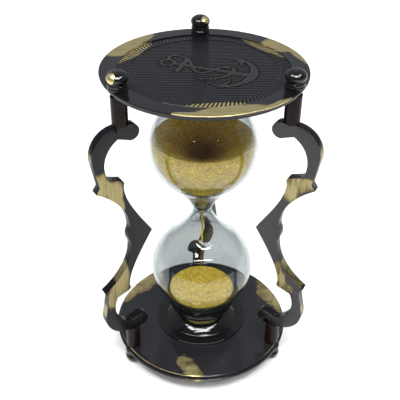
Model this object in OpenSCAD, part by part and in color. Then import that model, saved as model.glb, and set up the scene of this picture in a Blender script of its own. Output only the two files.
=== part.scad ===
// Sand timer in an antiqued brass frame.
// Two stepped round plates are held apart by three scroll brackets on spacer posts.
// Threaded studs run from the ball nuts outside each plate, through plate and post,
// into the end of each bracket. A two-bulb glass vial sits in two turned cups.
// Millimetres, +Z up, resting on the three lower ball nuts at z = 0.
// The lower half is modelled; the upper half is the same pieces turned over, with a shallower cup.

/* [Plates] */
// Diameter of each plate over its outer flange
plate_d = 90; // [88:0.5:96]
// Thickness of the outer flange
plate_flange_t = 1.1; // [0.9:0.1:1.4]
// Thickness of the smaller step on the inner side
plate_step_t = 1.6; // [1.4:0.1:2]
// Clear distance between the two plates' inner faces
plate_gap = 141.8; // [141.8:0.1:150]
// How far the inner step is set in from the flange's edge
plate_step_in = 1.1; // [0.5:0.1:1.5]
// Width of the flat ring around the sunk medallion
plate_ring_w = 7.6; // [7.4:0.1:7.8]
// Depth of the recess that holds the medallion
recess_depth = 1.2; // [1:0.1:1.3]
// Thickness of the medallion
medallion_t = 0.7; // [0.5:0.1:0.9]

/* [Pillars] */
// Radius of the circle that the three posts stand on
pillar_circle_r = 41.2; // [41:0.1:41.5]
// Diameter of a spacer post
post_d = 7.1; // [6.5:0.1:7.4]
// Diameter of a threaded stud
stud_d = 2.5; // [2:0.1:2.8]
// Radius of a ball nut's ball
ball_r = 4.5; // [4.3:0.1:4.6]
// Height of the ball, which is flattened like a bun
ball_h = 6.2; // [6:0.1:6.6]
// Height of a whole ball nut
ball_nut_h = 7.8; // [7.6:0.1:8.2]
// Radius of a ball nut's collar
collar_r = 4.3; // [4:0.1:4.6]

/* [Scroll brackets] */
// Thickness of a bracket, which is sawn from flat plate
bracket_t = 4.2; // [3.6:0.1:6]
// Outer radius of the large scroll
scroll_r = 12.6; // [12:0.1:13]
// Radius of the small round lobe at each end
lobe_r = 3.8; // [3.6:0.1:4.2]
// Height of the seat for the post above the bracket's middle
seat_h = 57.5; // [57.5:0.1:58.5]
// How far the rear bracket is turned about its post, in degrees
rear_turn = -42; // [-60:1:60]

/* [Glass and sand] */
// Outer radius of each bulb
bulb_r = 25.2; // [24.8:0.1:25.4]
// Height of a bulb's centre above the neck
bulb_rise = 36; // [36:0.1:36.4]
// Distance from a bulb's centre to its far end, which is a little flattened
bulb_end = 22.8; // [22.5:0.1:23]
// Outer radius of the neck
neck_r = 4.4; // [3.8:0.1:4.8]
// Thickness of the glass
glass_t = 1.2; // [1:0.1:1.6]
// Radius of the passage through the neck
orifice_r = 0.8; // [0.6:0.1:1.2]
// Level of the sand in the upper bulb, above the neck
upper_sand_h = 41; // [30:0.5:44]
// Depth of the crater in the upper sand
crater_depth = 12; // [4:0.5:14]
// Level of the sand in the lower bulb, above that bulb's far end
lower_sand_h = 6.5; // [4:0.1:9]

/* [Hidden] */
$fn = 96;

// Pillars: names, angles about the vial's axis, and how far each bracket is turned
SIDES = ["left", "right", "rear"];
side_angle = [210, 330, 90];
side_turn = [0, 0, rear_turn];

// The vial's axis stands in front of the origin, which is the middle of the footprint
axis_y = -4.3;

// Heights from the resting plane
plate_t = plate_flange_t + plate_step_t;
plate_z = ball_nut_h;
inner_z = plate_z + plate_t;
mid_z = inner_z + plate_gap / 2;
post_h = plate_gap / 2 - seat_h;

plate_r = plate_d / 2;
recess_r = plate_r - plate_ring_w;
stud_clear_r = stud_d / 2 + 0.1;
stud_in_nut = 5;
stud_in_bracket = 5.5;
edge_round = 0.35;
resting_flat = 0.15;
groove_r = 3.7;
ring_h = 1.3;

// Cup for the end of a bulb
cup_flange_r = 23.4;
cup_flange_t = 1.1;
cup_dome_r = 18;
cup_neck_r = 11.6;
cup_bead_r = 0.8;
cup_bead_z = 5.8;
cup_clear = 0.35;
cup_lip = 0.6;
lower_rim_r = 17.4;
lower_rim_z = 17.5;
upper_rim_r = 13;
upper_rim_z = 15;
pad_r = 7;
pad_z = 9.3;
cup_screw_r = 1.5;
cup_screw_in = 6;
screw_head_r = 2.9;

// Glass
flare_angle = -48.7;
plug_r = 3;
plug_in = 4;
steps = 16;

dark_brass = "#3a3a3d";
brown_brass = "#40352d";
polished_dark = "#26262a";
bare_brass = "#b08d4a";
sand_gold = "#c8b560";

// Points along a circular arc, with an optional second radius for an ellipse
function arc(centre, r, from, to, n, r2 = 0) =
  [for (i = [0:n]) let (a = from + (to - from) * i / n)
    centre + [r * cos(a), (r2 > 0 ? r2 : r) * sin(a)]];

// Points along a cubic Bezier curve with control points p0 to p3
function bezier(p0, p1, p2, p3, n) =
  [for (i = [0:n]) let (t = i / n, u = 1 - t)
    u * u * u * p0 + 3 * u * u * t * p1 + 3 * u * t * t * p2 + t * t * t * p3];

function reversed(points) = [for (i = [len(points) - 1:-1:0]) points[i]];
function turned_over(points) = [for (p = reversed(points)) [p[0], -p[1]]];
function without_ends(points) = [for (i = [1:len(points) - 2]) points[i]];

// Half of the bracket's outline, as [distance outward from the post, height above the middle],
// from the slight bulge at the middle of the outer edge round to the point of the inner edge
half_bracket = concat(
  bezier([0.2, 0], [0.2, 3], [-1, 3], [-1, 5.5], 6),
  bezier([-0.9, 6.2], [-0.5, 17], [8.5, 25], [14.2, 28.3], 12),
  [[12.3, 31]],
  arc([2.2, seat_h - scroll_r], scroll_r, -14, 90, 18),
  arc([-4, seat_h - lobe_r], lobe_r, 90, 305, 16),
  arc([-4.3, 40], 13.75, 61, -28, 14),
  arc([2.8, 29.5], 2.2, 90, 165, 4),
  bezier([1.1, 27.9], [0.9, 21.5], [-3, 14], [-12, 0], 12)
);
bracket_outline = concat(half_bracket, turned_over(without_ends(half_bracket)));

// Half of a vial's wall, as [radius, height above the neck], from the neck to the far end.
// lead is the curve's first control point, and pull how far it runs straight on into the bulb.
function half_vial(r, end, neck, lead, pull) =
  let (
    join = [r * cos(flare_angle), bulb_rise + r * sin(flare_angle)],
    along = [-sin(flare_angle), cos(flare_angle)]
  )
  concat(
    bezier([neck, 0], lead, join - pull * along, join, steps),
    without_ends(arc([0, bulb_rise], r, flare_angle, 0, steps)),
    arc([0, bulb_rise], r, 0, 90, 2 * steps, end)
  );

outer_wall = half_vial(bulb_r, bulb_end, neck_r, [neck_r, 3.2], 8);
inner_wall = half_vial(bulb_r - glass_t, bulb_end - glass_t, orifice_r, [orifice_r + 1.4, 1], 12.5);

// Height of the far end's ellipse above the neck, at radius x, for a surface offset from the glass
function far_end(x, offset) =
  bulb_rise + (bulb_end + offset) * sqrt(1 - pow(x / (bulb_r + offset), 2));

function up_to(points, r_max, h_max) =
  [for (p = points) if (p[0] >= r_max && p[1] <= h_max) p];

// Places for pieces
module on_axis() {
  translate([0, axis_y, 0]) children();
}

module at_pillar(i) {
  on_axis() rotate(side_angle[i]) translate([pillar_circle_r, 0, 0]) children();
}

module upside_down() {
  translate([0, 0, 2 * mid_z]) mirror([0, 0, 1]) children();
}

module hole(r, from, to) {
  translate([0, 0, from]) cylinder(h = to - from, r = r);
}

// Stepped plate: flange outside, smaller step inside, recess for the medallion underneath
module plate() {
  color(dark_brass) difference() {
    translate([0, 0, plate_z]) rotate_extrude() polygon(concat(
      [[0, recess_depth], [recess_r, recess_depth], [recess_r, 0]],
      arc([plate_r - edge_round, edge_round], edge_round, -90, 0, 4),
      arc([plate_r - edge_round, plate_flange_t - edge_round], edge_round, 0, 90, 4),
      [[plate_r - plate_step_in, plate_flange_t]],
      arc([plate_r - plate_step_in - edge_round, plate_t - edge_round], edge_round, 0, 90, 4),
      [[0, plate_t]]
    ));
    for (a = side_angle)
      rotate(a) translate([pillar_circle_r, 0, 0]) hole(stud_clear_r, plate_z - 1, inner_z + 1);
    hole(cup_screw_r + 0.1, plate_z - 1, inner_z + 1);
    translate([0, 0, plate_z + recess_depth - 0.01])
      cylinder(h = screw_head_r - cup_screw_r, r1 = screw_head_r, r2 = cup_screw_r);
  }
}

// Engraved disc let into the plate's outer face, with a raised rim
module medallion() {
  color(dark_brass) translate([0, 0, plate_z + recess_depth - medallion_t])
    rotate_extrude() polygon([
      [0, 0.15], [recess_r - 4.6, 0.15], [recess_r - 4.4, 0], [recess_r - 0.1, 0],
      [recess_r - 0.1, medallion_t], [0, medallion_t]
    ]);
}

// Ball nut: a collar of two rings, a groove and a flattened ball with a small flat where it rests
module ball_nut() {
  half_h = ball_h / 2;
  middle = half_h - resting_flat;
  flat_angle = asin(middle / half_h);
  groove_angle = acos(groove_r / ball_r);
  color(polished_dark) difference() {
    rotate_extrude() polygon(concat(
      [[0, 0]],
      arc([0, middle], ball_r, -flat_angle, groove_angle, 24, half_h),
      [[groove_r, ball_nut_h - 2 * ring_h]],
      arc([collar_r - 0.1 - edge_round, ball_nut_h - 2 * ring_h + edge_round], edge_round, -90, 0, 4),
      [[collar_r - 0.1, ball_nut_h - ring_h - 0.15], [collar_r - 0.3, ball_nut_h - ring_h]],
      arc([collar_r - edge_round, ball_nut_h - ring_h + edge_round], edge_round, -60, 0, 4),
      [[collar_r, ball_nut_h], [0, ball_nut_h]]
    ));
    hole(stud_d / 2, ball_nut_h - stud_in_nut, ball_nut_h + 1);
  }
}

module post() {
  color(brown_brass) difference() {
    hole(post_d / 2, inner_z, inner_z + post_h);
    hole(stud_clear_r, inner_z - 1, inner_z + post_h + 1);
  }
}

module stud() {
  color(bare_brass) hole(stud_d / 2, plate_z - stud_in_nut, inner_z + post_h + stud_in_bracket);
}

// Scroll bracket: flat plate cut to the outline, tapped from both ends for the studs
module bracket() {
  color(dark_brass) translate([0, 0, mid_z]) difference() {
    rotate([90, 0, 0]) translate([0, 0, -bracket_t / 2])
      linear_extrude(bracket_t) polygon(bracket_outline);
    hole(stud_d / 2, seat_h - stud_in_bracket - 0.5, seat_h + 1);
    mirror([0, 0, 1]) hole(stud_d / 2, seat_h - stud_in_bracket - 0.5, seat_h + 1);
  }
}

// Turned cup: flange, domed foot, bead, and a bowl that follows the bulb's end up to its rim
module cup(rim_r, rim_z) {
  lip_r = rim_r - cup_lip;
  lip_z = plate_gap / 2 - far_end(lip_r, cup_clear);
  bowl_w = rim_r - cup_neck_r;
  color(polished_dark) translate([0, 0, inner_z]) difference() {
    rotate_extrude() polygon(concat(
      [[0, 0], [cup_flange_r, 0]],
      arc([cup_flange_r - edge_round, cup_flange_t - edge_round], edge_round, 0, 90, 4),
      bezier([cup_dome_r, cup_flange_t], [cup_dome_r - 1.3, 2.27], [14.6, 4.1], [12.6, 4.7], 12),
      arc([cup_neck_r, cup_bead_z], cup_bead_r, -80, 80, 10),
      bezier(
        [cup_neck_r, 6.8], [cup_neck_r + 0.48 * bowl_w, 7.4],
        [cup_neck_r + 0.95 * bowl_w, 10.2], [rim_r, rim_z - 2.9], 12
      ),
      [[rim_r, rim_z - 0.3], [rim_r - 0.3, rim_z], [lip_r, lip_z]],
      [for (i = [1:12]) let (x = lip_r - (lip_r - pad_r) * i / 12)
        [x, plate_gap / 2 - far_end(x, cup_clear)]],
      [[pad_r, pad_z], [0, pad_z]]
    ));
    hole(cup_screw_r, -1, cup_screw_in + 0.5);
  }
}

// Countersunk screw that holds the cup, hidden under the medallion
module cup_screw() {
  color(bare_brass) {
    translate([0, 0, plate_z + recess_depth])
      cylinder(h = screw_head_r - cup_screw_r, r1 = screw_head_r - 0.01, r2 = cup_screw_r);
    hole(cup_screw_r, plate_z + recess_depth, inner_z + cup_screw_in);
  }
}

// Cork pad, dished to the bulb's end
module pad() {
  color("#9a7448") translate([0, 0, inner_z]) rotate_extrude() polygon(concat(
    [[0, pad_z], [pad_r, pad_z]],
    [for (i = [0:10]) let (x = pad_r * (1 - i / 10)) [x, plate_gap / 2 - far_end(x, 0)]]
  ));
}

// Vial: two bulbs joined at a narrow neck, with a filling hole in the upper end
module glass_vial() {
  color([0.8, 0.85, 0.88, 0.4]) on_axis() translate([0, 0, mid_z]) difference() {
    rotate_extrude() polygon(concat(
      turned_over(outer_wall),
      without_ends(outer_wall),
      [[0, bulb_rise + bulb_end], [0, bulb_rise + bulb_end - glass_t]],
      reversed(without_ends(inner_wall)),
      [for (p = without_ends(inner_wall)) [p[0], -p[1]]],
      [[0, -bulb_rise - bulb_end + glass_t]]
    ));
    hole(plug_r, bulb_rise + bulb_end - 2 * glass_t, bulb_rise + bulb_end + 1);
  }
}

// Cork stopper in the filling hole
module fill_plug() {
  color("#9a7448") on_axis() translate([0, 0, mid_z])
    hole(plug_r, bulb_rise + bulb_end - plug_in, far_end(plug_r, 0));
}

// Sand in the upper bulb, with the crater that forms as it runs out
module upper_sand() {
  color(sand_gold) on_axis() translate([0, 0, mid_z]) rotate_extrude() polygon(concat(
    [[0, 0]],
    up_to(inner_wall, orifice_r, upper_sand_h),
    [[0, upper_sand_h - crater_depth]]
  ));
}

// Thread of falling sand below the neck
module sand_stream() {
  heap_h = bulb_rise + bulb_end - glass_t - lower_sand_h - 1;
  color(sand_gold) on_axis() translate([0, 0, mid_z]) hole(orifice_r / 2, -heap_h, 0);
}

// Low heap in the lower bulb
module lower_sand() {
  level = bulb_rise + bulb_end - glass_t - lower_sand_h;
  color(sand_gold) on_axis() translate([0, 0, mid_z]) mirror([0, 0, 1]) rotate_extrude() polygon(concat(
    [[0, level - 1]],
    [for (p = inner_wall) if (p[1] >= level) p]
  ));
}

on_axis() plate();  // base_plate
on_axis() upside_down() plate();  // top_plate
on_axis() medallion();  // base_medallion
on_axis() upside_down() medallion();  // top_medallion
for (i = [0:2]) {
  at_pillar(i) ball_nut();
  at_pillar(i) upside_down() ball_nut();
  at_pillar(i) post();
  at_pillar(i) upside_down() post();
  at_pillar(i) stud();
  at_pillar(i) upside_down() stud();
  at_pillar(i) rotate(side_turn[i]) bracket();
}
on_axis() cup(lower_rim_r, lower_rim_z);  // lower_cup
on_axis() upside_down() cup(upper_rim_r, upper_rim_z);  // upper_cup
on_axis() cup_screw();  // lower_cup_screw
on_axis() upside_down() cup_screw();  // upper_cup_screw
on_axis() pad();  // lower_pad
on_axis() upside_down() pad();  // upper_pad
glass_vial();
fill_plug();
upper_sand();
sand_stream();
lower_sand();
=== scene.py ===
"""Looks of a sand timer in an antiqued brass frame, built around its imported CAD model.

Shapes are worked out in millimetres about the vial's axis and turned into metres when a
mesh is made. Angles are in degrees until a sine or a rotation needs them. Sizes come from
the CAD nodes' boxes and the named values below.
"""
import math
import random

import bmesh
import bpy
import numpy as np
from mathutils import Matrix, Vector


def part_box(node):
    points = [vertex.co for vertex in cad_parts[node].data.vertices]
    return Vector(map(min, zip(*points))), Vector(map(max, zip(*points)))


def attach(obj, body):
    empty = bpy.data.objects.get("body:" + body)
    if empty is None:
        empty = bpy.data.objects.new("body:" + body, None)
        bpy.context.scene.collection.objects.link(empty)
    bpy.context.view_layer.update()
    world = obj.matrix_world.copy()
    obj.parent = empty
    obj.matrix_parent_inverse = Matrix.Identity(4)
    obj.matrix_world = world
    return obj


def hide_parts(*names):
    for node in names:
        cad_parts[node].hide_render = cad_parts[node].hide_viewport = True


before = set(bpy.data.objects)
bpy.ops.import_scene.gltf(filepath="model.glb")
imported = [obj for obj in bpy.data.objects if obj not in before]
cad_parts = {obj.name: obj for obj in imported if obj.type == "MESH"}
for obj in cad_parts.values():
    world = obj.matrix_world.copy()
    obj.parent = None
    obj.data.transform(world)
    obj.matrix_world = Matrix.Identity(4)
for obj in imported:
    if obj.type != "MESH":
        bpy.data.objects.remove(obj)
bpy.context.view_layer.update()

MM = 0.001


def box_mm(name):
    """Lowest and highest corner of a CAD node, in millimetres."""
    low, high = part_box(name)
    return low / MM, high / MM


# ---- Sizes, from the frame ----
vial_low, vial_high = box_mm("glass_vial")
bracket_low, bracket_high = box_mm("bracket_left")
base_low, base_high = box_mm("base_plate")
top_low, top_high = box_mm("top_plate")
medallion_low, medallion_high = box_mm("top_medallion")
AXIS = Vector(((vial_low.x + vial_high.x) / 2, (vial_low.y + vial_high.y) / 2, 0))
BULB_R = (vial_high.x - vial_low.x) / 2
MID_Z = (bracket_low.z + bracket_high.z) / 2
BRACKET_H = bracket_high.z - bracket_low.z
PLATE_R = (base_high.x - base_low.x) / 2
BASE_TOP = base_high.z
TOP_UNDER = top_low.z
TOP_FACE = top_high.z
MEDALLION_R = (medallion_high.x - medallion_low.x) / 2
MEDALLION_FACE = medallion_high.z

# ---- Sizes that the boxes don't show ----
# Pillars: each one's direction from the vial's axis, their distance from it, and how far the
# rear bracket is turned about its post
SIDES = {"left": 210, "right": 330, "rear": 90}
PILLAR_R = 41.2
REAR_TURN = -42
# Vial: a bulb's centre above the neck, its height above that centre, where its round part
# passes into the neck's flare, the neck's outside and inside, and the filling hole
BULB_RISE = 36
BULB_END = MID_Z - vial_low.z - BULB_RISE
FLARE_ANGLE = -48.7
NECK_R = 4.4
ORIFICE_R = 0.8
GLASS_T = 1.2
FILL_HOLE_R = 3
# Cups: the rims of the two bowls, the waist above the foot, the foot's dome and the bead
LOWER_RIM_R = 17.4
UPPER_RIM_R = 13
CUP_NECK_R = 11.6
CUP_DOME_R = 18
CUP_BEAD_R = 0.8
CUP_BEAD_Z = 5.8
# Sand: its gap from the glass
SAND_GAP = 0.05
# Medallions: the notched border, the hatched field inside it and its engraving
BORDER_W = 4.4
FIELD_SUNK = 0.15
HATCH_PITCH = 1.6
HATCH_DEPTH = 0.12
GRID_STEP = 0.3
RIDGE_RUB = 0.38
NOTCHES = 126
NOTCH_DEPTH = 0.16
NOTCH_SLANT = 7.5
ANCHOR_TURN = -22


def bracket_turn(side):
    """The direction in which a bracket points, away from its post."""
    return SIDES[side] + (REAR_TURN if side == "rear" else 0)


# ---- Curves in a plane, as lists of (x, y) ----
def arc(centre, r, start, end, n, r2=None):
    """Points along a circular arc, or along an ellipse where r2 is given."""
    points = []
    for i in range(n + 1):
        a = math.radians(start + (end - start) * i / n)
        points.append((centre[0] + r * math.cos(a), centre[1] + (r2 or r) * math.sin(a)))
    return points


def bezier(p0, p1, p2, p3, n):
    """Points along a cubic Bezier curve."""
    points = []
    for i in range(n + 1):
        t = i / n
        u = 1 - t
        weights = (u * u * u, 3 * u * u * t, 3 * u * t * t, t * t * t)
        points.append(tuple(sum(w * p[k] for w, p in zip(weights, (p0, p1, p2, p3))) for k in (0, 1)))
    return points


def softened(points, radius, least_turn=20):
    """The same line with each sharp corner replaced by a short curve."""
    line = [Vector(p) for p in points]
    made = [line[0]]
    for before, corner, after in zip(line, line[1:], line[2:]):
        back, on = before - corner, after - corner
        if back.length < 1e-6 or on.length < 1e-6 or 180 - math.degrees(back.angle(on)) < least_turn:
            made.append(corner)
            continue
        a = corner + back.normalized() * min(radius, back.length / 2.2)
        b = corner + on.normalized() * min(radius, on.length / 2.2)
        made += [a.lerp(corner, t).lerp(corner.lerp(b, t), t) for t in (0, 0.2, 0.4, 0.6, 0.8, 1)]
    return [tuple(p) for p in made + [line[-1]]]


# ---- Pieces ----
def add_object(name, data):
    """A new object in the scene."""
    made = bpy.data.objects.new(name, data)
    bpy.context.scene.collection.objects.link(made)
    return made


def add_piece(name, mesh, material, node):
    """Puts a mesh in the scene as a piece of the object, standing for a CAD node."""
    piece = add_object(name, mesh)
    piece.data.materials.append(material)
    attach(piece, "root")
    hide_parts(node)
    return piece


def finished_mesh(name, made, sharp_angle=38):
    """A mesh from a bmesh, with smooth shading that stops at sharp edges."""
    bmesh.ops.recalc_face_normals(made, faces=made.faces)
    mesh = bpy.data.meshes.new(name)
    made.to_mesh(mesh)
    made.free()
    mesh.shade_smooth()
    mesh.set_sharp_from_angle(angle=math.radians(sharp_angle))
    return mesh


def turned(made, outline, segments, centre=AXIS, flip_z=None):
    """Adds a turned shape to a bmesh: outline is (radius, height) from one end to the other.

    With flip_z it hangs down from that height instead of standing up from 0.
    """
    rings = []
    for r, z in outline:
        height = flip_z - z if flip_z is not None else z
        if r < 1e-6:
            rings.append([made.verts.new((centre.x * MM, centre.y * MM, height * MM))])
            continue
        ring = []
        for i in range(segments):
            a = 2 * math.pi * i / segments
            x = centre.x + r * math.cos(a)
            y = centre.y + r * math.sin(a)
            ring.append(made.verts.new((x * MM, y * MM, height * MM)))
        rings.append(ring)
    for low, high in zip(rings, rings[1:]):
        if len(low) == len(high) == 1:
            continue
        for i in range(segments):
            j = (i + 1) % segments
            corners = [low[i % len(low)], low[j % len(low)], high[j % len(high)], high[i % len(high)]]
            made.faces.new(list(dict.fromkeys(corners)))


# ---- Shader nodes ----
class Shader:
    """A material's node tree, with short ways to add and join nodes."""

    def __init__(self, name):
        """Makes a material with a Principled shader."""
        self.material = bpy.data.materials.new(name)
        self.material.use_nodes = True
        self.tree = self.material.node_tree
        self.surface = self.tree.nodes["Principled BSDF"]
        self.output = self.tree.nodes["Material Output"]
        self.place = self.add("TexCoord").outputs["Object"]

    def add(self, kind, inputs=(), **settings):
        """A new node with its sockets filled and its settings made."""
        made = self.tree.nodes.new("ShaderNode" + kind)
        for key, value in settings.items():
            setattr(made, key, value)
        for key, value in dict(inputs).items():
            self.set(made, key, value)
        return made

    def set(self, made, key, value):
        """Fills one socket of a node with a number, a colour or another node's output."""
        if isinstance(value, bpy.types.NodeSocket):
            self.tree.links.new(value, made.inputs[key])
        else:
            made.inputs[key].default_value = value

    def shade(self, **inputs):
        """Sets the Principled shader's own sockets, with _ for a space."""
        for key, value in inputs.items():
            self.set(self.surface, key.replace("_", " "), value)

    def math(self, operation, a, b=0.0):
        """A sum, product or other operation on numbers."""
        return self.add("Math", {0: a, 1: b}, operation=operation).outputs[0]

    def vector(self, operation, a, b):
        """The same on vectors."""
        return self.add("VectorMath", {0: a, 1: b}, operation=operation).outputs[0]

    def length(self, a):
        """A vector's length."""
        return self.add("VectorMath", {0: a}, operation="LENGTH").outputs["Value"]

    def attribute(self, name):
        """A number that the mesh carries, or 0 where it has none of this name."""
        return self.add("Attribute", attribute_name=name).outputs["Fac"]

    def span(self, value, low, high, to_low=0.0, to_high=1.0):
        """value's smoothed share of the way from low to high, as a number from to_low to to_high."""
        sockets = {"Value": value, "From Min": low, "From Max": high, "To Min": to_low, "To Max": to_high}
        return self.add("MapRange", sockets, interpolation_type="SMOOTHSTEP").outputs["Result"]

    def noise(self, size_mm, detail, roughness=0.5):
        """Noise whose features are about size_mm across; size_mm may be one number for each axis."""
        sizes = size_mm if isinstance(size_mm, tuple) else (size_mm,) * 3
        scaled = self.vector("MULTIPLY", self.place, tuple(1 / (s * MM) for s in sizes))
        sockets = {"Vector": scaled, "Scale": 1.0, "Detail": detail, "Roughness": roughness}
        return self.add("TexNoise", sockets).outputs

    def ramp(self, value, *stops):
        """A colour ramp through (position, colour) stops."""
        made = self.add("ValToRGB", {"Fac": value})
        elements = made.color_ramp.elements
        while len(elements) < len(stops):
            elements.new(0.5)
        for element, (position, colour) in zip(elements, stops):
            element.position = position
            element.color = (*colour, 1)
        return made.outputs["Color"]

    def mix(self, share, a, b, blend="MIX"):
        """Two colours mixed or multiplied."""
        made = self.add("Mix", data_type="RGBA", blend_type=blend)
        for index, value in ((0, share), (6, a), (7, b)):
            self.set(made, index, value)
        return made.outputs[2]

    def bump(self, height, strength, distance_mm, normal=None):
        """A normal bumped by height, on top of another bump where one is given."""
        sockets = {"Height": height, "Strength": strength, "Distance": distance_mm * MM}
        if normal is not None:
            sockets["Normal"] = normal
        return self.add("Bump", sockets).outputs["Normal"]


# ---- Worn places, where the brass shows through the black finish ----
def on_plate(angle, r, z, along, across, skew=0, depth=0.45):
    """A worn place on a plate, at a polar angle and radius, with its size along and across the rim."""
    a = math.radians(angle)
    centre = AXIS + Vector((r * math.cos(a), r * math.sin(a), z))
    return centre, a + math.pi / 2 + math.radians(skew), (along, across, depth)


def on_bracket(side, out, up, width, height, depth=6.0):
    """A worn place on a bracket, at a distance outward from its post and a height above its middle."""
    around = math.radians(SIDES[side])
    turn = math.radians(bracket_turn(side))
    post = AXIS + Vector((PILLAR_R * math.cos(around), PILLAR_R * math.sin(around), MID_Z))
    centre = post + Vector((out * math.cos(turn), out * math.sin(turn), up))
    return centre, turn, (width, depth, height)


def near_spots(s, point, spots, soft):
    """1 inside any of the worn places, falling to 0 outside; soft is how gradually."""
    near = 0.0
    for centre, turn, size in spots:
        sockets = {"Vector": point, "Location": centre * MM, "Rotation": (0, 0, turn),
                   "Scale": tuple(x * MM for x in size)}
        local = s.add("Mapping", sockets, vector_type="TEXTURE").outputs["Vector"]
        near = s.math("ADD", near, s.span(s.length(local), 1 + soft, 1 - soft))
    return s.math("MINIMUM", near, 1.0)


def worn_rims(s, point, rims, soft):
    """1 on the circular edges that have worn to a line, near each edge's own worn places."""
    radius = s.length(s.vector("MULTIPLY", s.vector("SUBTRACT", s.place, AXIS * MM), (1, 1, 0)))
    worn = 0.0
    for rim_r, half_width, spots in rims:
        off = s.math("ABSOLUTE", s.math("SUBTRACT", radius, rim_r * MM))
        line = s.span(off, half_width * MM, half_width * 0.5 * MM)
        worn = s.math("MAXIMUM", worn, s.math("MULTIPLY", line, near_spots(s, point, spots, soft)))
    return worn


def brass_finish(s, bare, streak, dark, brass_tone):
    """The colour of blackened brass where bare is 0, through tarnish to clean brass at 1."""
    tarnish = s.noise(14, 4)["Fac"]
    black = s.mix(tarnish, tuple(0.6 * c for c in dark) + (1,), tuple(1.5 * c for c in dark) + (1,))
    stops = ((0.0, (0.03, 0.022, 0.013)), (0.35, (0.15, 0.112, 0.055)),
             (0.75, (0.455, 0.385, 0.18)), (1.0, (0.61, 0.535, 0.27)))
    brass = s.ramp(bare, *((at, tuple(brass_tone * c for c in colour)) for at, colour in stops))
    brushed = s.ramp(streak, (0.3, (0.72, 0.7, 0.66)), (0.62, (1.08, 1.06, 1.03)))
    return s.mix(s.span(bare, 0.0, 0.3), black, s.mix(1.0, brass, brushed, "MULTIPLY"))


def worn_metal(name, spots=(), rims=(), edge_spots=(), engraved=False, dark=(0.0035, 0.0035, 0.0045),
               gloss=0.09, specular=0.5, dents=0.02, streaks=(30, 0.5, 0.5), brass_tone=1.15,
               soft=0.25, wander=(3, 3, 0), fray=0.4, blend=(0.2, 0.8), mottle=0.0):
    """Blackened brass, polished to a gloss, with brushed bare brass where it has worn through.

    spots are worn places; rims are (radius, half width, spots) for edges that have worn to a line.
    A bracket also has edge_spots, which are worn places on its sawn edges, and its spots are then
    on its flat faces only. An engraved piece keeps the black in its lines and loses it on its ridges.
    dark is the black's colour, gloss its roughness, dents how deep its unevenness is, streaks the
    size of the brush marks along each axis, and brass_tone how bright the brass is.
    soft is how gradually a worn place fades, wander how far its outline strays along each axis, in
    millimetres, and fray how deeply the brush marks cut into it. blend is the amount of wear where
    brass starts to show and where it is bare, and mottle how far blotches of tarnish dull it.
    """
    s = Shader(name)
    warp = s.vector("SUBTRACT", s.noise(9, 4)["Color"], (0.5, 0.5, 0.5))
    point = s.vector("ADD", s.place, s.vector("MULTIPLY", warp, tuple(w * MM for w in wander)))
    streak = s.noise(streaks, 4, 0.65)["Fac"]
    shine = specular

    worn = near_spots(s, point, spots, soft)
    if edge_spots:
        flat = s.attribute("flat")
        patchy = s.span(s.noise(9, 3)["Fac"], 0.5, 0.64, 0.0, 0.75)
        worn = s.math("MAXIMUM", s.math("MULTIPLY", s.attribute("edge"), patchy),
                      s.math("MULTIPLY", worn, flat))
        sawn = s.math("MULTIPLY", near_spots(s, point, edge_spots, soft), s.math("SUBTRACT", 1.0, flat))
        worn = s.math("MAXIMUM", worn, sawn)
        shine = s.span(flat, 0.0, 1.0, 0.35 * specular, specular)
    if rims:
        worn = s.math("MAXIMUM", worn, worn_rims(s, point, rims, soft))
    if engraved:
        sunk = s.attribute("sunk")
        worn = s.math("MULTIPLY", worn, s.span(sunk, 0.15, 0.5, 1.0, 0.0))
        worn = s.math("MAXIMUM", worn, s.attribute("rubbed"))
        shine = s.span(sunk, 0.1, 0.6, specular, 0.02)
    ragged = s.math("ADD", worn, s.math("MULTIPLY", s.math("SUBTRACT", streak, 0.5), fray))
    if mottle:
        ragged = s.math("SUBTRACT", ragged, s.span(s.noise((4, 4, 14), 4)["Fac"], 0.42, 0.6, 0.0, mottle))
    bare = s.span(s.math("MULTIPLY", ragged, s.span(worn, 0.02, 0.2)), *blend)

    smudge = s.span(s.noise(5, 5, 0.6)["Fac"], 0.3, 0.8, -0.03, 0.09)
    s.shade(Base_Color=brass_finish(s, bare, streak, dark, brass_tone),
            Metallic=s.span(bare, 0.05, 0.6),
            Roughness=s.math("ADD", s.span(bare, 0.0, 0.7, gloss, 0.36), smudge),
            IOR=1.45, Specular_IOR_Level=shine,
            Normal=s.bump(streak, 0.1, 0.03, s.bump(s.noise(8, 2)["Fac"], 0.5, dents)))
    return s.material


def sand_material(name, painted_shade_factor=1.0, grain=0.5):
    """Fine golden sand, with grains of several tones and a few bright ones, darkened and browned by painted
    shade where its crater attribute is high.

    The factor after the name darkens all of it, as painted shade, and grain is the size of a grain, in
    millimetres.
    """
    s = Shader(name)
    grains = s.add("TexVoronoi", {"Vector": s.place, "Scale": 1 / (grain * MM)})
    tone = s.add("SeparateColor", {"Color": grains.outputs["Color"]}).outputs[0]
    drift = s.noise(4, 4)["Fac"]
    mixed = s.math("ADD", s.math("MULTIPLY", tone, 0.65), s.math("MULTIPLY", drift, 0.35))
    stops = ((0.15, (0.42, 0.235, 0.012)), (0.4, (0.7, 0.43, 0.025)),
             (0.65, (0.86, 0.56, 0.035)), (0.85, (1.0, 0.8, 0.1)))
    colour = s.ramp(mixed, *((at, tuple(painted_shade_factor * c for c in shade)) for at, shade in stops))
    # Painted shade: the crater attribute darkens and browns the sand, standing in for the top plate's
    # shadow.
    painted_crater_shade = s.ramp(s.attribute("crater"), (0.0, (1, 1, 1)), (0.35, (0.9, 0.8, 2.4)),
                    (1.0, (0.6, 0.47, 1.55)))
    s.shade(Base_Color=s.mix(1.0, colour, painted_crater_shade, "MULTIPLY"), Roughness=s.span(tone, 0.0, 1.0, 0.55, 0.9),
            Normal=s.bump(grains.outputs["Distance"], 0.7, 0.25, s.bump(drift, 0.6, 0.3)))
    return s.material


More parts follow.
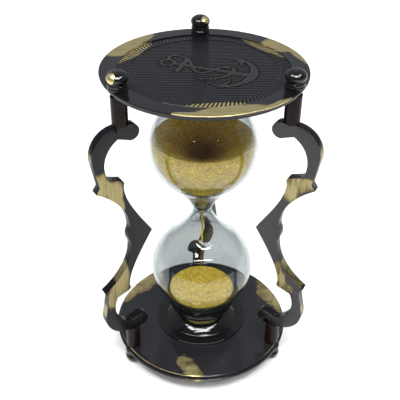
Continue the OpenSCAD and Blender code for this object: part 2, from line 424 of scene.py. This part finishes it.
def glass_material(name):
    """Soda glass with a faint grey-blue tint, slightly uneven from hand blowing."""
    s = Shader(name)
    s.shade(Base_Color=(0.775, 0.79, 0.805, 1), IOR=1.5, Transmission_Weight=1.0,
            Roughness=s.span(s.noise(3, 3)["Fac"], 0.4, 0.8, 0.0, 0.03),
            Normal=s.bump(s.noise((9, 9, 14), 2)["Fac"], 0.4, 0.15))
    clear = s.add("BsdfTransparent", {"Color": (0.86, 0.88, 0.9, 1)})
    shadow = s.add("LightPath").outputs["Is Shadow Ray"]
    both = s.add("MixShader", {0: shadow, 1: s.surface.outputs[0], 2: clear.outputs[0]})
    s.tree.links.new(both.outputs[0], s.output.inputs["Surface"])
    depth = s.add("VolumeAbsorption", {"Color": (0.76, 0.8, 0.79, 1), "Density": 600.0})
    s.tree.links.new(depth.outputs[0], s.output.inputs["Volume"])
    return s.material


def cork_material(name):
    """Cork: warm brown with dark pores."""
    s = Shader(name)
    pores = s.add("TexVoronoi", {"Vector": s.place, "Scale": 1 / (0.9 * MM)})
    colour = s.ramp(pores.outputs["Distance"], (0.05, (0.09, 0.045, 0.02)), (0.3, (0.38, 0.22, 0.1)),
                    (0.8, (0.5, 0.32, 0.17)))
    blotches = s.ramp(s.noise(2, 4)["Fac"], (0.3, (0.3, 0.17, 0.08)), (0.7, (0.6, 0.42, 0.24)))
    s.shade(Base_Color=s.mix(0.3, colour, blotches),
            Roughness=s.span(pores.outputs["Distance"], 0.0, 0.6, 0.95, 0.8),
            Normal=s.bump(pores.outputs["Distance"], 0.6, 0.2))
    return s.material


def bare_brass_material(name, streaks):
    """Yellow brass straight from the lathe, with tool marks and a little tarnish."""
    s = Shader(name)
    tool = s.noise(streaks, 3)["Fac"]
    tarnish = s.noise(3, 4)["Fac"]
    colour = s.ramp(tarnish, (0.3, (0.3, 0.19, 0.07)), (0.55, (0.6, 0.43, 0.17)), (0.8, (0.72, 0.55, 0.26)))
    s.shade(Base_Color=colour, Metallic=1.0, Roughness=s.span(tarnish, 0.3, 0.8, 0.42, 0.24),
            Normal=s.bump(tool, 0.3, 0.05))
    return s.material


def paper_material(name):
    """Pale paper for the floor."""
    s = Shader(name)
    tooth = s.noise(1.5, 3)["Fac"]
    colour = s.ramp(s.noise(90, 2)["Fac"], (0.3, (0.6, 0.6, 0.605)), (0.7, (0.62, 0.62, 0.62)))
    s.shade(Base_Color=colour, Roughness=s.span(tooth, 0.3, 0.7, 0.85, 0.95),
            Normal=s.bump(tooth, 0.1, 0.05))
    return s.material


# ---- Where the finish has worn ----
TOP_SPOTS = [
    on_plate(148, 42, TOP_FACE, 11, 7),
    on_plate(131, 43.5, TOP_FACE, 8, 4.5),
    on_plate(34, 42, TOP_FACE, 8, 7),
    on_plate(18, 44.6, TOP_FACE, 12, 2.6),
    on_plate(-79, 41.8, TOP_FACE, 15, 4.6),
    on_plate(-101, 43.8, TOP_FACE, 6, 2),
    on_plate(-54, 44.6, TOP_FACE, 10, 2),
]
RECESS_SPOTS = [on_plate(-93, 38, TOP_FACE, 18, 8), on_plate(145, 38, TOP_FACE, 9, 6)]
MEDALLION_SPOTS = [
    on_plate(150, 35.4, MEDALLION_FACE, 14, 3.2),
    on_plate(38, 35.6, MEDALLION_FACE, 15, 2.8),
    on_plate(-86, 35.2, MEDALLION_FACE, 13, 2.4),
]
BASE_SPOTS = [
    on_plate(141, 41, BASE_TOP, 10, 5.5),
    on_plate(157, 43, BASE_TOP, 6, 2.5),
    on_plate(21, 41.5, BASE_TOP, 10, 5),
    on_plate(4, 43.5, BASE_TOP, 6, 2.2),
    on_plate(-100, 39.6, BASE_TOP, 9, 3.4, skew=-52),
    on_plate(-104, 36.5, BASE_TOP, 4.5, 3, skew=-20),
    on_plate(-97, PLATE_R + 2.3, BASE_TOP - 2, 19, 2.2, depth=1.6),
]
RIM_SPOTS = [
    on_plate(-118, PLATE_R, BASE_TOP, 26, 9),
    on_plate(-30, PLATE_R, BASE_TOP, 12, 8),
    on_plate(-150, PLATE_R, BASE_TOP, 10, 6),
]
FACE_SPOTS = {
    "left": [
        on_bracket("left", 11.5, 33.5, 4, 5.5),
        on_bracket("left", 7, 28, 6, 5),
        on_bracket("left", 4.5, 22.5, 3.5, 5),
        on_bracket("left", 2.2, 17, 1.4, 4),
        on_bracket("left", 3, -20, 2.5, 5),
        on_bracket("left", 6, -27, 6.5, 6),
        on_bracket("left", 10.5, -34, 4.5, 5),
    ],
    "right": [
        on_bracket("right", 4, 26.5, 5.5, 7.5),
        on_bracket("right", 10.5, 30, 5.5, 3.8),
        on_bracket("right", 0.5, -20, 2.2, 5),
        on_bracket("right", 2, -26, 4, 5),
        on_bracket("right", 6, -30.5, 4.5, 3.2),
    ],
    "rear": [
        on_bracket("rear", 6, 28, 6, 4),
        on_bracket("rear", 6, -24, 4, 9),
    ],
}
EDGE_SPOTS = {
    "left": [
        on_bracket("left", 17, 45, 2.6, 5),
        on_bracket("left", 4, -17, 3, 3.5),
        on_bracket("left", 6.5, -21.5, 2.5, 3),
        on_bracket("left", 14.5, -40, 3, 4),
    ],
    "right": [
        on_bracket("right", 15, 43, 3, 6.5),
        on_bracket("right", 3.5, -17, 2.5, 3.5),
        on_bracket("right", 7.5, -22, 2.5, 3.5),
        on_bracket("right", 11, -26.5, 2.5, 3),
        on_bracket("right", 16, -41, 3, 4),
    ],
    "rear": [on_bracket("rear", 15, 43, 3, 6)],
}


def ball_spot(node, dx, dy, dz, size):
    """A worn place on a ball nut, placed from the middle of its box."""
    low, high = box_mm(node)
    return (low + high) / 2 + Vector((dx, dy, dz)), 0.0, (size, size, size)


BALL_SPOTS = [
    ball_spot("finial_left", -2.6, -2.9, 1.6, 2.5),
    ball_spot("finial_rear", 2.4, -2.2, 2.6, 1.9),
]
# Bare brass on the bead at its front only: partly wear, partly a painted highlight where the bead catches
# the lamps.
CUP_BEAD_WEAR_AND_HIGHLIGHT = [on_plate(-90, CUP_NECK_R + 0.4, BASE_TOP + CUP_BEAD_Z, 14, 9, depth=1.2)]


# ---- Medallions: engraved discs let into the plates ----
def stroke(points, width, end_width=None):
    """A line to be raised on the medallion: its points, and half its width at each end."""
    return np.array(points, float), width, width if end_width is None else end_width


def anchor_strokes():
    """A plain fouled anchor of no particular pattern: u runs from its ring to its crown."""
    ring = arc((-18.5, 0), 3, 0, 360, 24)
    arms = arc((4.5, 0), 15.5, -66, 66, 24)
    shank = [(-15.5, 0), (19, 0)]
    stock = [(-11.5, -7), (-11.5, 7)]
    strokes = [stroke(ring, 0.75), stroke(shank, 1.0, 1.7), stroke(stock, 0.95),
               stroke(arms[:13], 0.7, 1.9), stroke(arms[12:], 1.9, 0.7)]
    for sign in (-1, 1):
        tip = (10.6, sign * 14.2)
        strokes.append(stroke([tip, (3.4, sign * 12.6)], 1.3, 0.25))
        strokes.append(stroke([tip, (12.4, sign * 8.2)], 1.3, 0.25))
    return strokes


def rope_line():
    """The rope that winds round the anchor's shank."""
    line = bezier((-18.5, 3), (-24, 9), (-14, 12), (-9, 3.5), 16)
    line += bezier((-9, 3.5), (-5.5, -5), (-1, -8), (2, -1), 16)[1:]
    line += bezier((2, -1), (4.5, 5), (11, 8), (11, 1), 14)[1:]
    line += bezier((11, 1), (11, -5), (6, -9), (0, -10.5), 12)[1:]
    return line


def to_stroke(x, y, line):
    """Distance from each point to a stroke's edge, and how far along the stroke it lies."""
    points, width, end_width = line
    steps = np.linalg.norm(np.diff(points, axis=0), axis=1)
    total, done = steps.sum(), 0.0
    best, along = np.full(x.shape, 1e9), np.zeros(x.shape)
    for a, b, step in zip(points, points[1:], steps):
        t = np.clip(((x - a[0]) * (b[0] - a[0]) + (y - a[1]) * (b[1] - a[1])) / step**2, 0, 1)
        away = np.hypot(x - a[0] - t * (b[0] - a[0]), y - a[1] - t * (b[1] - a[1]))
        share = (done + t * step) / total
        edge = away - width - (end_width - width) * share
        along = np.where(edge < best, done + t * step, along)
        best = np.minimum(best, edge)
        done += step
    return best, along


def field_relief(x, y):
    """Height of the medallion's field, how much its high edges are rubbed, and how sunk its lines are."""
    turn = math.radians(ANCHOR_TURN)
    x_in, y_in = x - 1.5, y + 0.6
    u = x_in * math.cos(turn) + y_in * math.sin(turn)
    v = -x_in * math.sin(turn) + y_in * math.cos(turn)
    anchor = np.min([to_stroke(u, v, line)[0] for line in anchor_strokes()], axis=0)
    rope, along = to_stroke(u, v, stroke(rope_line(), 0.75))
    furrow = 0.5 - 0.5 * np.cos(2 * math.pi * y / HATCH_PITCH)
    outside = np.minimum(anchor, rope)
    clear = np.clip((outside - 0.4) / 0.3, 0, 1)
    moat = -0.2 * np.clip(1 - np.abs(outside - 0.25) / 0.3, 0, 1)
    height = moat - HATCH_DEPTH * furrow * clear
    height += 0.12 * np.clip(-anchor / 0.35, 0, 1)
    strands = 0.09 + 0.04 * np.cos(2 * math.pi * along / 1.5)
    height = np.where(rope < 0, np.maximum(height, strands * np.clip(-rope / 0.3, 0, 1) + 0.02), height)
    rubbed = np.exp(-((outside + 0.2) / 0.22) ** 2)
    sunk = np.maximum(0.75 * clear * furrow**1.5, np.clip(1.3 - np.abs(outside - 0.35) / 0.45, 0, 1))
    return height, rubbed, sunk


def close_back(made, depth_z):
    """Closes an open sheet into a solid with walls down to depth_z and a flat back."""
    rim = [e for e in made.edges if e.is_boundary]
    new = bmesh.ops.extrude_edge_only(made, edges=rim)["geom"]
    for v in new:
        if isinstance(v, bmesh.types.BMVert):
            v.co.z = depth_z * MM
    bmesh.ops.edgeloop_fill(made, edges=[e for e in new if isinstance(e, bmesh.types.BMEdge)])


def add_field(made, vert, field_r, under_z):
    """The medallion's field, as a grid whose rows follow the hatching."""
    furrows, rows_each = 30, 6
    rows = np.arange(-furrows, furrows + 1) * HATCH_PITCH
    ys = np.sort(np.concatenate([rows + k * HATCH_PITCH / rows_each for k in range(rows_each)]))
    gx, gy = np.meshgrid(np.arange(-field_r, field_r, GRID_STEP), ys[np.abs(ys) < field_r])
    relief, rubbed, sunk = field_relief(gx, gy)
    grid = {}
    for (i, j), x in np.ndenumerate(gx):
        if math.hypot(x, gy[i, j]) < field_r - 0.1:
            height = relief[i, j] - FIELD_SUNK
            grid[i, j] = vert(x, gy[i, j], height, RIDGE_RUB * rubbed[i, j], sunk[i, j])
    for i, j in grid:
        corners = [grid.get(k) for k in ((i, j), (i, j + 1), (i + 1, j + 1), (i + 1, j))]
        if all(corners):
            made.faces.new(corners)
    bmesh.ops.delete(made, geom=[v for v in made.verts if not v.link_faces], context="VERTS")
    close_back(made, under_z)


def add_border(made, vert, field_r, under_z):
    """The medallion's border, as rings with slanting notches between two plain edges."""
    steps, rows = NOTCHES * 8, 14
    rings = []
    inner, outer = field_r - 0.6, MEDALLION_R
    for k in range(rows + 1):
        share = k / rows
        r = inner + (outer - inner) * share
        shown = min(1, share / 0.1, (1 - share) / 0.07)
        ring = []
        for i in range(steps):
            a = 2 * math.pi * i / steps
            wave = 0.5 + 0.5 * math.cos(NOTCHES * a + NOTCH_SLANT * share)
            deep = shown * wave**2.6
            ring.append(vert(r * math.cos(a), r * math.sin(a), -0.02 - NOTCH_DEPTH * deep, deep=deep))
        rings.append(ring)
    for edge in (rings[-1], rings[0]):
        rings.append([made.verts.new((v.co.x, v.co.y, under_z * MM)) for v in edge])
    rings.append(rings[0])
    for low, high in zip(rings, rings[1:]):
        for i in range(steps):
            j = (i + 1) % steps
            made.faces.new((low[i], low[j], high[j], high[i]))


def medallion(name, node, face_z, under_z):
    """An engraved medallion: notched border, hatched field and an anchor in low relief."""
    sign = 1 if face_z > under_z else -1
    made = bmesh.new()
    rub_layer = made.verts.layers.float.new("rubbed")
    sunk_layer = made.verts.layers.float.new("sunk")

    def vert(x, y, height, rub=0.0, deep=0.0):
        """A point of the engraved face, at a height above it and with its two looks."""
        v = made.verts.new(((AXIS.x + x) * MM, (AXIS.y + y) * MM, (face_z + sign * height) * MM))
        v[rub_layer] = rub
        v[sunk_layer] = deep
        return v

    add_field(made, vert, MEDALLION_R - BORDER_W, under_z)
    add_border(made, vert, MEDALLION_R - BORDER_W, under_z)
    return add_piece(name, finished_mesh(name, made, 50), MEDALLION_METAL, node)


# ---- Frame ----
def bracket(side):
    """A scroll bracket: the CAD bracket with its sawn edges broken by a narrow bevel.

    The edges round the two seats, where the posts press on it, stay sharp.
    """
    node = "bracket_" + side
    made = bmesh.new()
    made.from_mesh(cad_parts[node].data)
    bmesh.ops.remove_doubles(made, verts=made.verts, dist=1e-6)
    bmesh.ops.dissolve_limit(made, angle_limit=math.radians(1), verts=made.verts, edges=made.edges)
    edge_layer = made.faces.layers.float.new("edge")
    flat_layer = made.faces.layers.float.new("flat")
    turn = math.radians(bracket_turn(side))
    across = Vector((-math.sin(turn), math.cos(turn), 0))
    for face in made.faces:
        face[flat_layer] = 1.0 if abs(face.normal.dot(across)) > 0.9 else 0.0
    seat = (BRACKET_H / 2 - 0.2) * MM
    sharp = [e for e in made.edges if e.is_manifold and e.calc_face_angle() > math.radians(60)
             and abs(e.verts[0].co.z - MID_Z * MM) < seat]
    bevelled = bmesh.ops.bevel(made, geom=sharp, offset=0.32 * MM, segments=3, profile=0.5,
                               affect="EDGES", clamp_overlap=True)
    for face in bevelled["faces"]:
        face[edge_layer] = 1.0
        face[flat_layer] = 0.6
    bmesh.ops.triangulate(made, faces=[f for f in made.faces if len(f.verts) > 4])
    mesh = finished_mesh(node + "_sawn", made, 32)
    return add_piece(node + "_sawn", mesh, BRACKET_METAL[side], node)


def post(name):
    """A spacer post: a turned rod with broken corners and a faint waist, bored for its stud."""
    low, high = box_mm(name)
    r = (high.x - low.x) / 2
    bore_r, corner_w, corner_h, collar, waist = 1.35, 0.25, 0.3, 1.2, 0.03
    centre = Vector(((low.x + high.x) / 2, (low.y + high.y) / 2, 0))
    outline = [(bore_r, low.z), (r - corner_w, low.z), (r, low.z + corner_h),
               (r - waist, low.z + collar), (r - waist, high.z - collar),
               (r, high.z - corner_h), (r - corner_w, high.z), (bore_r, high.z)]
    made = bmesh.new()
    turned(made, softened(outline, 0.12), 64, centre)
    turned(made, [(bore_r, high.z), (bore_r, low.z)], 64, centre)
    bmesh.ops.remove_doubles(made, verts=made.verts, dist=1e-7)
    mesh = finished_mesh(name + "_turned", made)
    return add_piece(name + "_turned", mesh, POST_METAL, name)


def cup(node, rim_r, upper=False):
    """A turned cup with a flange, a domed foot, a bead and a bowl that follows the bulb's end."""
    low, high = box_mm(node)
    flange_r, rim_z = (high.x - low.x) / 2, high.z - low.z
    flange_t, floor_z, screw_r, pad_r, pad_z = 1.1, 6.5, 1.5, 7, 9.3
    lip, glass_gap = 0.6, 0.35
    # From the screw's hole outward under the flange, and up over the foot and the bead
    outline = [(0, floor_z), (screw_r, floor_z), (screw_r, 0), (flange_r, 0)]
    outline += arc((flange_r - 0.35, flange_t - 0.35), 0.35, 0, 90, 5)
    outline.append((CUP_DOME_R + 0.25, flange_t))
    outline += bezier((CUP_DOME_R, flange_t + 0.05), (CUP_DOME_R - 1.3, 2.27), (14.6, 4.1), (12.6, 4.7), 26)
    outline += arc((CUP_NECK_R, CUP_BEAD_Z), CUP_BEAD_R, -80, 80, 14)
    # The bowl's outside, its rim and the seat for the bulb's end
    bowl_w = rim_r - CUP_NECK_R
    outline += bezier((CUP_NECK_R, 6.8), (CUP_NECK_R + 0.48 * bowl_w, 7.4),
                      (CUP_NECK_R + 0.95 * bowl_w, 10.2), (rim_r, rim_z - 2.9), 26)
    outline += arc((rim_r - 0.3, rim_z - 0.3), 0.3, 0, 100, 5)
    bulb_z = (TOP_UNDER - BASE_TOP) / 2 - BULB_RISE
    for i in range(21):
        x = rim_r - lip - (rim_r - lip - pad_r) * i / 20
        sag = math.sqrt(1 - (x / (BULB_R + glass_gap)) ** 2)
        outline.append((x, bulb_z - (BULB_END + glass_gap) * sag))
    outline += [(pad_r, pad_z), (0, pad_z)]
    made = bmesh.new()
    if upper:
        turned(made, outline, 160, flip_z=TOP_UNDER)
    else:
        turned(made, [(r, BASE_TOP + z) for r, z in outline], 160)
    name = node + "_turned"
    return add_piece(name, finished_mesh(name, made, 45), CUP_METAL, node)


# ---- Glass and sand ----
def wall(r, end, neck, lead, pull, n=28):
    """Half of a vial's wall, as (radius, height above the neck), from the neck to the far end."""
    a = math.radians(FLARE_ANGLE)
    join = (r * math.cos(a), BULB_RISE + r * math.sin(a))
    pulled = (join[0] + pull * math.sin(a), join[1] - pull * math.cos(a))
    return (bezier((neck, 0), lead, pulled, join, n)
            + arc((0, BULB_RISE), r, FLARE_ANGLE, 0, n)[1:-1]
            + arc((0, BULB_RISE), r, 0, 90, 2 * n, end))


outer_wall = wall(BULB_R, BULB_END, NECK_R, (NECK_R, 3.2), 8)
inner_wall = wall(BULB_R - GLASS_T, BULB_END - GLASS_T, ORIFICE_R, (ORIFICE_R + 1.4, 1), 12.5)


def glass_vial():
    """The blown vial, with its inner and outer walls and the filling hole in its upper end."""
    down = [(r, -z) for r, z in outer_wall[::-1]]
    up_to_hole = [p for p in outer_wall[1:] if p[0] > FILL_HOLE_R]
    hole = [(FILL_HOLE_R, up_to_hole[-1][1] + 0.15), (FILL_HOLE_R, up_to_hole[-1][1] - GLASS_T)]
    inner_down = [p for p in inner_wall[::-1] if p[0] > FILL_HOLE_R]
    chain = down + up_to_hole + hole + inner_down + [(r, -z) for r, z in inner_wall[1:]]
    chain[0] = (0, chain[0][1])
    chain[-1] = (0, chain[-1][1])
    made = bmesh.new()
    turned(made, [(r, MID_Z + z) for r, z in chain], 144)
    return add_piece("vial_blown", finished_mesh("vial_blown", made, 60), GLASS, "glass_vial")


def from_axis(v):
    """How far a mesh point lies from the vial's axis, in millimetres."""
    return math.hypot(v.co.x / MM - AXIS.x, v.co.y / MM - AXIS.y)


def roughen(made, seed, size, chosen):
    """Moves the chosen points of a surface up and down a little, at random."""
    draw = random.Random(seed)
    for v in made.verts:
        lift = draw.uniform(-size, size)
        if chosen(v):
            v.co.z += lift * MM


def upper_sand():
    """Sand in the upper bulb, with a crater where it runs out.

    The crater attribute is painted shade, standing in for the top plate's shadow: it deepens towards a
    place a little behind the axis.
    """
    level = box_mm("upper_sand")[1].z - MID_Z
    crater, pit, pit_r, steps = 12, 1.1, 1.8, 60
    side = [(max(0.05, r - SAND_GAP), z) for r, z in inner_wall if r >= ORIFICE_R and z <= level]
    rim_r, rim_z = side[-1]
    top = []
    for i in range(1, steps):
        share = i / steps
        slope = share + 0.06 * math.sin(math.pi * share)
        sunk = pit * math.exp(-((1 - share) * rim_r / pit_r) ** 2)
        top.append((rim_r * (1 - share), rim_z - crater * slope - sunk))
    outline = [(0, 0.1)] + side + top + [(0, top[-1][1] - 0.1)]
    made = bmesh.new()
    turned(made, [(r, MID_Z + z) for r, z in outline], 144)
    bottom = MID_Z + level - crater - 2
    # Painted shade, stored as the crater attribute: strongest a little behind the axis and fading outward.
    painted_shade_layer = made.verts.layers.float.new("crater")
    shade_r, shade_fade, shade_back = 21, 17, 4
    for v in made.verts:
        away = math.hypot(v.co.x / MM - AXIS.x, v.co.y / MM - AXIS.y - shade_back)
        if v.co.z / MM > bottom:
            v[painted_shade_layer] = max(0, min(1, (shade_r - away) / shade_fade))
    roughen(made, 3, 0.07, lambda v: v.co.z / MM > bottom and from_axis(v) < rim_r - 0.3)
    mesh = finished_mesh("sand_upper_heap", made, 80)
    return add_piece("sand_upper_heap", mesh, SAND, "upper_sand")


def lower_sand():
    """The low heap in the lower bulb, with a soft mound where the stream lands."""
    mound, mound_r, crown, steps = 0.95, 6.5, 0.25, 48
    top_z = box_mm("lower_sand")[1].z - 0.9
    rim_z = max(MID_Z - z for r, z in inner_wall if MID_Z - z < top_z)
    side = [(max(0.0, r - SAND_GAP), MID_Z - z) for r, z in inner_wall[::-1] if MID_Z - z <= rim_z + 1e-6]
    side[0] = (0, side[0][1] + SAND_GAP)
    rim_r = side[-1][0]
    top = []
    for i in range(1, steps):
        r = rim_r * (1 - i / steps)
        heap = mound * math.exp(-(r / mound_r) ** 2) + crown * (1 - (r / rim_r) ** 2)
        top.append((r, side[-1][1] + heap))
    made = bmesh.new()
    turned(made, side + top + [(0, top[-1][1])], 144)
    roughen(made, 5, 0.06, lambda v: v.co.z / MM > rim_z - 0.05 and from_axis(v) < rim_r - 0.3)
    mesh = finished_mesh("sand_lower_heap", made, 80)
    return add_piece("sand_lower_heap", mesh, LOW_SAND_PAINTED_DARKER, "lower_sand")


def sand_stream():
    """The falling sand: a ragged thread that breaks up into loose grains half way down."""
    low, high = box_mm("sand_stream")
    fall = high.z - low.z
    thread, thread_r, steps, grains = 0.42 * fall, 0.25, 60, 220
    draw = random.Random(11)
    made = bmesh.new()
    outline = [(0, high.z - thread)]
    for i in range(1, steps):
        share = i / steps
        r = thread_r + 0.35 * share + draw.uniform(-0.08, 0.08)
        outline.append((r, high.z - thread + thread * share))
    turned(made, outline + [(0, high.z)], 10)
    for i in range(grains):
        z = low.z + fall * (draw.uniform(0.01, 0.9) if i % 3 else draw.uniform(0.5, 0.95))
        a, r = draw.uniform(0, 2 * math.pi), draw.uniform(0.05, 0.4 + 0.5 * (high.z - z) / fall)
        centre = Vector((AXIS.x + r * math.cos(a), AXIS.y + r * math.sin(a), z)) * MM
        bmesh.ops.create_icosphere(made, subdivisions=1, radius=draw.uniform(0.08, 0.15) * MM,
                                   matrix=Matrix.Translation(centre))
    return add_piece("sand_falling", finished_mesh("sand_falling", made, 80), SAND, "sand_stream")


# ---- Stage ----
CAMERA_PLACE = Vector((-14.83, -279.77, 277.1))
CAMERA_YAW, CAMERA_DIP, CAMERA_ROLL = 2.826, 34.721, 0.651
CAMERA_LENS = 62.53
# Each lamp's direction, which is an azimuth, 0 in front of the object and 90 at its right, and an
# elevation, then its distance and size in metres and its power in watts
LAMPS = {
    "strip_low": (4, 48, 0.8, (0.75, 0.022), 1.5),
    "strip_high": (4, 57, 0.8, (0.6, 0.03), 1.5),
    "window_left": (-60, 58, 0.62, (0.3, 0.12), 2.4),
    "window_middle": (-8, 62, 0.62, (0.34, 0.1), 2.0),
    "window_right": (50, 60, 0.62, (0.4, 0.1), 2.4),
}
# Lamps that reach the sand under the top plate, and show in no glass or polished face
FILL_LAMPS = {
    "front_fill": (5, 20, 0.9, (0.9, 0.2), 1.9),
    "left_fill": (-85, 17, 0.9, (0.7, 0.2), 3.5),
    "right_fill": (85, 17, 0.9, (0.7, 0.2), 3.5),
    "rear_fill": (180, 16, 0.9, (0.9, 0.2), 6.0),
}


def make_camera():
    """The camera stands in front of the object and looks down on it by about 35 degrees."""
    data = bpy.data.cameras.new("camera")
    data.lens, data.sensor_width = CAMERA_LENS, 36
    data.clip_start, data.clip_end = 0.01, 10
    camera = add_object("camera", data)
    yaw, dip, roll = (math.radians(a) for a in (CAMERA_YAW, CAMERA_DIP, CAMERA_ROLL))
    forward = Vector((math.sin(yaw) * math.cos(dip), math.cos(yaw) * math.cos(dip), -math.sin(dip)))
    level_right = forward.cross(Vector((0, 0, 1))).normalized()
    level_up = level_right.cross(forward)
    right = math.cos(roll) * level_right + math.sin(roll) * level_up
    up = math.cos(roll) * level_up - math.sin(roll) * level_right
    axes = Matrix((right, up, -forward)).transposed().to_4x4()
    camera.matrix_world = Matrix.Translation(CAMERA_PLACE * MM) @ axes
    bpy.context.scene.camera = camera


def area_light(name, azimuth, elevation, distance, size, power):
    """A soft oval lamp that faces the middle of the object."""
    side, up = math.radians(azimuth), math.radians(elevation)
    target = Vector((0, 0, 0.08))
    way = Vector((math.sin(side) * math.cos(up), -math.cos(side) * math.cos(up), math.sin(up)))
    data = bpy.data.lights.new(name, "AREA")
    data.shape, data.size, data.size_y = "ELLIPSE", size[0], size[1]
    data.energy = power
    light = add_object(name, data)
    light.location = target + distance * way
    light.rotation_euler = (-way).to_track_quat("-Z", "Y").to_euler()
    return light


def hide_from_mirrors(light):
    """Keeps a lamp's own shape out of glass and polished faces."""
    light.visible_glossy = light.visible_transmission = False


def make_floor():
    """A pale floor, well beyond the camera's view."""
    made = bmesh.new()
    bmesh.ops.create_circle(made, cap_ends=True, radius=3, segments=96)
    mesh = bpy.data.meshes.new("floor")
    made.to_mesh(mesh)
    made.free()
    mesh.materials.append(paper_material("paper"))
    add_object("floor", mesh)


def make_world():
    """The room as the glass and the metal mirror it: a bright wall behind and a dim one in front."""
    world = bpy.data.worlds.new("studio")
    bpy.context.scene.world = world
    world.use_nodes = True
    tree = world.node_tree
    towards = tree.nodes.new("ShaderNodeTexCoord").outputs["Generated"]
    axes = tree.nodes.new("ShaderNodeSeparateXYZ")
    tree.links.new(towards, axes.inputs[0])
    span = tree.nodes.new("ShaderNodeMapRange")
    span.interpolation_type = "SMOOTHSTEP"
    span.inputs["From Min"].default_value = -0.6
    span.inputs["From Max"].default_value = 0.45
    tree.links.new(axes.outputs["Y"], span.inputs["Value"])
    ramp = tree.nodes.new("ShaderNodeValToRGB")
    ramp.color_ramp.elements[0].color = (0.07, 0.07, 0.075, 1)
    ramp.color_ramp.elements[1].color = (0.39, 0.4, 0.425, 1)
    tree.links.new(span.outputs["Result"], ramp.inputs["Fac"])
    tree.links.new(ramp.outputs["Color"], tree.nodes["Background"].inputs["Color"])


def make_lamps():
    """The lamps round the object and a broad ceiling light."""
    for name, lamp in LAMPS.items():
        area_light(name, *lamp)
    for name, lamp in FILL_LAMPS.items():
        hide_from_mirrors(area_light(name, *lamp))
    data = bpy.data.lights.new("ceiling", "SUN")
    data.angle, data.energy = math.radians(50), 1.2
    ceiling = add_object("ceiling", data)
    ceiling.rotation_euler = (math.radians(-8), math.radians(5), 0)
    hide_from_mirrors(ceiling)


# ---- Materials ----
PLATE_BRUSH = (28, 0.45, 0.45)
UPRIGHT_BRUSH = (0.5, 0.5, 24)
TOP_METAL = worn_metal("top_plate_metal", TOP_SPOTS, streaks=PLATE_BRUSH, brass_tone=1.08,
                       rims=[(MEDALLION_R + 0.1, 0.3, RECESS_SPOTS)], wander=(2.5, 2.5, 0))
BASE_METAL = worn_metal("base_plate_metal", BASE_SPOTS, rims=[(PLATE_R - 1.1, 0.16, RIM_SPOTS)],
                        dark=(0.009, 0.009, 0.0105), streaks=(9, 3, 1), brass_tone=1.3, soft=0.6,
                        wander=(5, 5, 0), fray=0.8, blend=(0.0, 1.3), mottle=0.2)
MEDALLION_METAL = worn_metal("medallion_metal", MEDALLION_SPOTS, engraved=True, streaks=PLATE_BRUSH,
                             gloss=0.11)
# Painted shade: the left bracket's lower specular level makes it read darker than the right, for the light
# falling differently on them; both are the same brass.
BRACKET_METAL = {side: worn_metal("bracket_metal_" + side, FACE_SPOTS[side], edge_spots=EDGE_SPOTS[side],
                                  gloss=0.22, specular=0.27 if side == "left" else 0.6,
                                  streaks=UPRIGHT_BRUSH, brass_tone=0.51, soft=0.5, wander=(2, 2, 3),
                                  fray=0.8, blend=(0.12, 0.95), mottle=0.45 if side == "right" else 0.25)
                 for side in SIDES}
POST_METAL = worn_metal("post_metal", streaks=UPRIGHT_BRUSH, dark=(0.006, 0.003, 0.0024), gloss=0.24,
                        specular=0.15)
BALL_METAL = worn_metal("ball_metal", BALL_SPOTS, dark=(0.004, 0.004, 0.0045), gloss=0.07, dents=0.01)
CUP_METAL = worn_metal("cup_metal", rims=[(CUP_NECK_R + 0.7, 0.5, CUP_BEAD_WEAR_AND_HIGHLIGHT)],
                       dark=(0.004, 0.004, 0.0045), gloss=0.07, dents=0.01)
GLASS = glass_material("vial_glass")
SAND = sand_material("sand")
# Painted shade: the lower heap is the same sand painted darker, standing in for the top plate's shadow.
LOW_SAND_PAINTED_DARKER = sand_material("sand_low", 0.48, grain=0.8)
CORK = cork_material("cork")
ROD_BRASS = bare_brass_material("rod_brass", (6, 6, 0.3))


def paint(name, material):
    """Gives a CAD node its finished material."""
    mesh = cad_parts[name].data
    mesh.materials.clear()
    mesh.materials.append(material)


# ---- Build ----
make_camera()
make_floor()
make_world()
make_lamps()
bpy.context.scene.view_settings.view_transform = "Standard"
paint("base_plate", BASE_METAL)
paint("top_plate", TOP_METAL)
# Each medallion is engraved on the side that faces away from the vial
for level in ("top", "base"):
    low, high = box_mm(level + "_medallion")
    face_z, under_z = (high.z, low.z) if level == "top" else (low.z, high.z)
    medallion(f"medallion_{level}_engraved", level + "_medallion", face_z, under_z)
for side in SIDES:
    bracket(side)
    for level in ("lower", "upper"):
        post(f"{level}_post_{side}")
        paint(f"{level}_stud_{side}", ROD_BRASS)
    paint("foot_" + side, BALL_METAL)
    paint("finial_" + side, BALL_METAL)
cup("lower_cup", LOWER_RIM_R)
cup("upper_cup", UPPER_RIM_R, upper=True)
for level in ("lower", "upper"):
    paint(level + "_cup_screw", ROD_BRASS)
    paint(level + "_pad", CORK)
paint("fill_plug", CORK)
glass_vial()
upper_sand()
lower_sand()
sand_stream()
